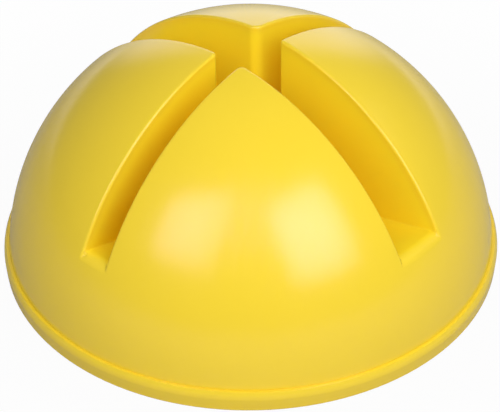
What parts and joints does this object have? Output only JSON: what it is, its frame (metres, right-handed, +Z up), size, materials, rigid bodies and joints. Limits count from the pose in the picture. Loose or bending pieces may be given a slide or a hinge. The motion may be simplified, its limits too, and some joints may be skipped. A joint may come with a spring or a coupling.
{
  "type": "half-sphere slotted stand",
  "caption": "Half-sphere stand with crossed slots that hold a hoop, board or pole upright, on a sand-filled, screwed base pan with rubber feet and a filler plug underneath.",
  "frame": {"origin": "on the ground, below the middle of the dome", "axes": "+Z up, +X along the wide slot, +Y along the narrow slot"},
  "size_m": [0.3016, 0.3016, 0.1477],
  "materials": {
    "dome_yellow": "gloss",
    "pan_yellow": "satin",
    "plug_yellow": "satin",
    "seal_rubber": "matte",
    "foot_rubber": "matte",
    "zinc_steel": "satin",
    "dry_sand": "matte"
  },
  "bodies": {
    "stand": {"dome_shell": "dome_yellow", "base_pan": "pan_yellow", "rim_gasket": "seal_rubber", "base_screws": "zinc_steel", "screw_washers": "seal_rubber", "sand_ballast": "dry_sand", "foot_1": "foot_rubber", "foot_2": "foot_rubber", "foot_3": "foot_rubber", "foot_4": "foot_rubber", "foot_screws": "zinc_steel"},
    "seal": {"plug_seal": "seal_rubber"},
    "plug": {"filler_plug": "plug_yellow"}
  },
  "joints": [
    {"name": "plug_travel", "type": "slide", "parent": "stand", "child": "seal", "axis": [0, 0, -1], "range_m": [0, 0.009]},
    {"name": "plug_turn", "type": "hinge", "parent": "seal", "child": "plug", "pos_m": [0, 0, 0], "axis": [0, 0, -1], "range_deg": [0, 1080]}
  ],
  "couplings": [
    {"joint": "plug_travel", "follows": "plug_turn", "m_per_rad": 0.00047746}
  ]
}
